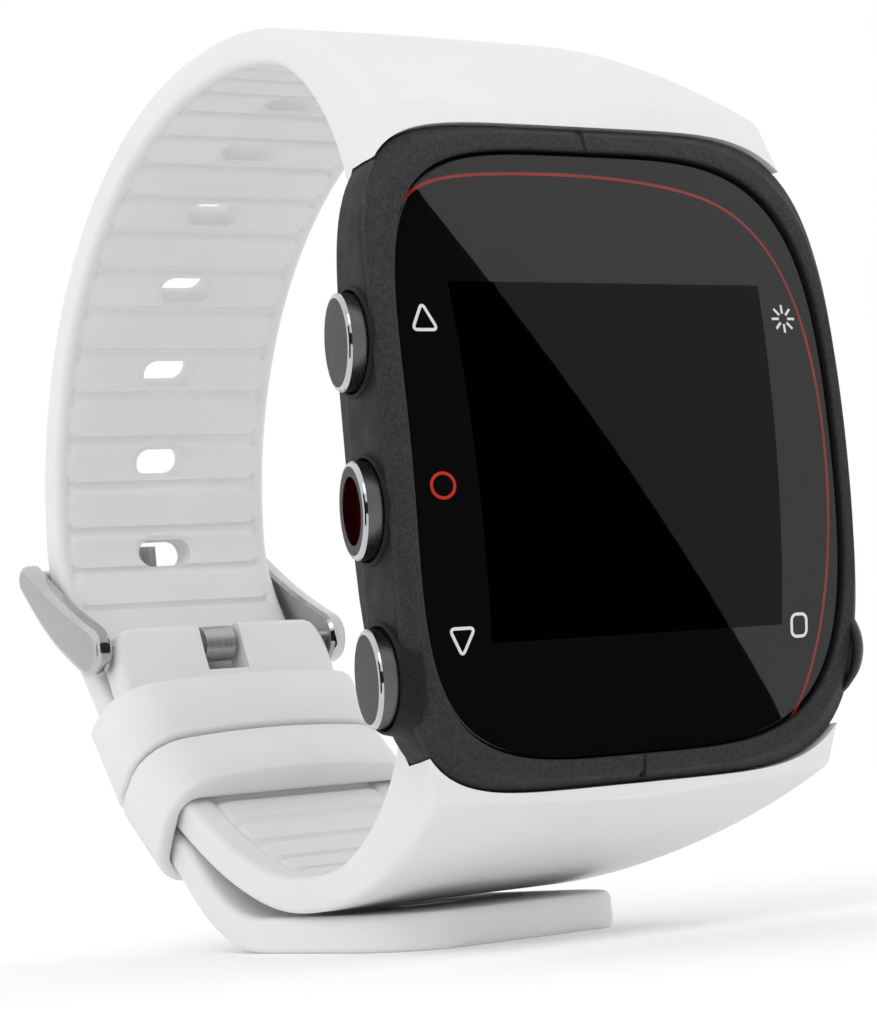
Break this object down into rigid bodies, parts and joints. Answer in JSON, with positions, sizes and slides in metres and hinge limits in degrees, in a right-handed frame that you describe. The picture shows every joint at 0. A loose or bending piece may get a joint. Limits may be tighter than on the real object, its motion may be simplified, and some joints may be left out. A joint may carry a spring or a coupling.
{
  "type": "gps running watch",
  "caption": "Sports watch with a curved square display, side buttons and a soft strap fastened in a loop by a buckle and keepers.",
  "frame": {"origin": "middle of the bounding box's base, where the folded-back strap end stands on a surface", "axes": "display faces -Y, twelve o'clock is +Z, three o'clock is +X, the buckle is at +Y"},
  "size_m": [0.0378, 0.0698, 0.0648],
  "materials": {
    "case_plastic": "fine spark-textured dark grey moulding",
    "cover_plastic": "satin dark grey moulding",
    "gasket_rubber": "red-brown silicone ring",
    "screw_steel": "plain machined steel",
    "window_glass": "clear curved lens, printed black round the display",
    "seal_rubber": "black rubber",
    "display_glass": "dark reflective display",
    "carrier_plastic": "white moulded carrier",
    "flex_film": "amber film circuit",
    "board_laminate": "green laminate",
    "shield_steel": "tinned steel",
    "antenna_ceramic": "buff ceramic",
    "buzzer_brass": "brass disc",
    "battery_foil": "foil pouch",
    "flap_rubber": "dark grey rubber flap",
    "strap_silicone": "soft matte white silicone",
    "pin_steel": "plain steel pin",
    "buckle_steel": "brushed faces with polished bevels",
    "button_steel": "brushed face with a polished bevel",
    "insert_red": "dark red brushed inlay"
  },
  "bodies": {
    "watch": {"case_frame": "case_plastic", "back_cover": "cover_plastic", "back_gasket": "gasket_rubber", "back_screws": "screw_steel", "window": "window_glass", "window_seal": "seal_rubber", "display_panel": "display_glass", "display_frame": "carrier_plastic", "display_flex": "flex_film", "main_board": "board_laminate", "processor_shield": "shield_steel", "gps_antenna": "antenna_ceramic", "buzzer": "buzzer_brass", "battery": "battery_foil", "switch_flex": "flex_film", "switch_domes": "screw_steel", "usb_socket": "shield_steel", "upper_strap": "strap_silicone", "upper_strap_pin": "pin_steel", "lower_strap": "strap_silicone", "lower_strap_pin": "pin_steel", "fixed_keeper": "strap_silicone", "buckle_pivot": "pin_steel"},
    "port_cover": {"usb_cover": "flap_rubber"},
    "buckle": {"buckle_frame": "buckle_steel"},
    "tongue": {"buckle_tongue": "buckle_steel"},
    "free_keeper": {"sliding_keeper": "strap_silicone"},
    "up_key": {"up_button": "button_steel", "up_button_seal": "seal_rubber", "up_button_clip": "screw_steel"},
    "start_key": {"start_button": "button_steel", "start_button_insert": "insert_red", "start_button_seal": "seal_rubber", "start_button_clip": "screw_steel"},
    "down_key": {"down_button": "button_steel", "down_button_seal": "seal_rubber", "down_button_clip": "screw_steel"},
    "light_key": {"light_button": "button_steel", "light_button_seal": "seal_rubber", "light_button_clip": "screw_steel"},
    "back_key": {"back_button": "button_steel", "back_button_seal": "seal_rubber", "back_button_clip": "screw_steel"}
  },
  "joints": [
    {"name": "port_cover_hinge", "type": "hinge", "parent": "watch", "child": "port_cover", "pos_m": [0, -0.02344, 0.0186], "axis": [1, 0, 0], "range_deg": [0, 100]},
    {"name": "buckle_hinge", "type": "hinge", "parent": "watch", "child": "buckle", "pos_m": [0, 0.023, 0.02342], "axis": [-1, 0, 0], "range_deg": [0, 5]},
    {"name": "tongue_hinge", "type": "hinge", "parent": "buckle", "child": "tongue", "pos_m": [0, 0.023, 0.02342], "axis": [-1, 0, 0], "range_deg": [0, 3]},
    {"name": "free_keeper_slide", "type": "hinge", "parent": "watch", "child": "free_keeper", "pos_m": [0, -0.00139, 0.0312], "axis": [1, 0, 0], "range_deg": [0, 3]},
    {"name": "up_button_press", "type": "slide", "parent": "watch", "child": "up_key", "axis": [0.9877, -0.1564, 0], "range_m": [0, 0.0005], "stiffness_N_per_m": 3000},
    {"name": "start_button_press", "type": "slide", "parent": "watch", "child": "start_key", "axis": [0.9877, -0.1564, 0], "range_m": [0, 0.0005], "stiffness_N_per_m": 3000},
    {"name": "down_button_press", "type": "slide", "parent": "watch", "child": "down_key", "axis": [0.9877, -0.1564, 0], "range_m": [0, 0.0005], "stiffness_N_per_m": 3000},
    {"name": "light_button_press", "type": "slide", "parent": "watch", "child": "light_key", "axis": [-0.9877, -0.1564, 0], "range_m": [0, 0.0005], "stiffness_N_per_m": 3000},
    {"name": "back_button_press", "type": "slide", "parent": "watch", "child": "back_key", "axis": [-0.9877, -0.1564, 0], "range_m": [0, 0.0005], "stiffness_N_per_m": 3000}
  ]
}
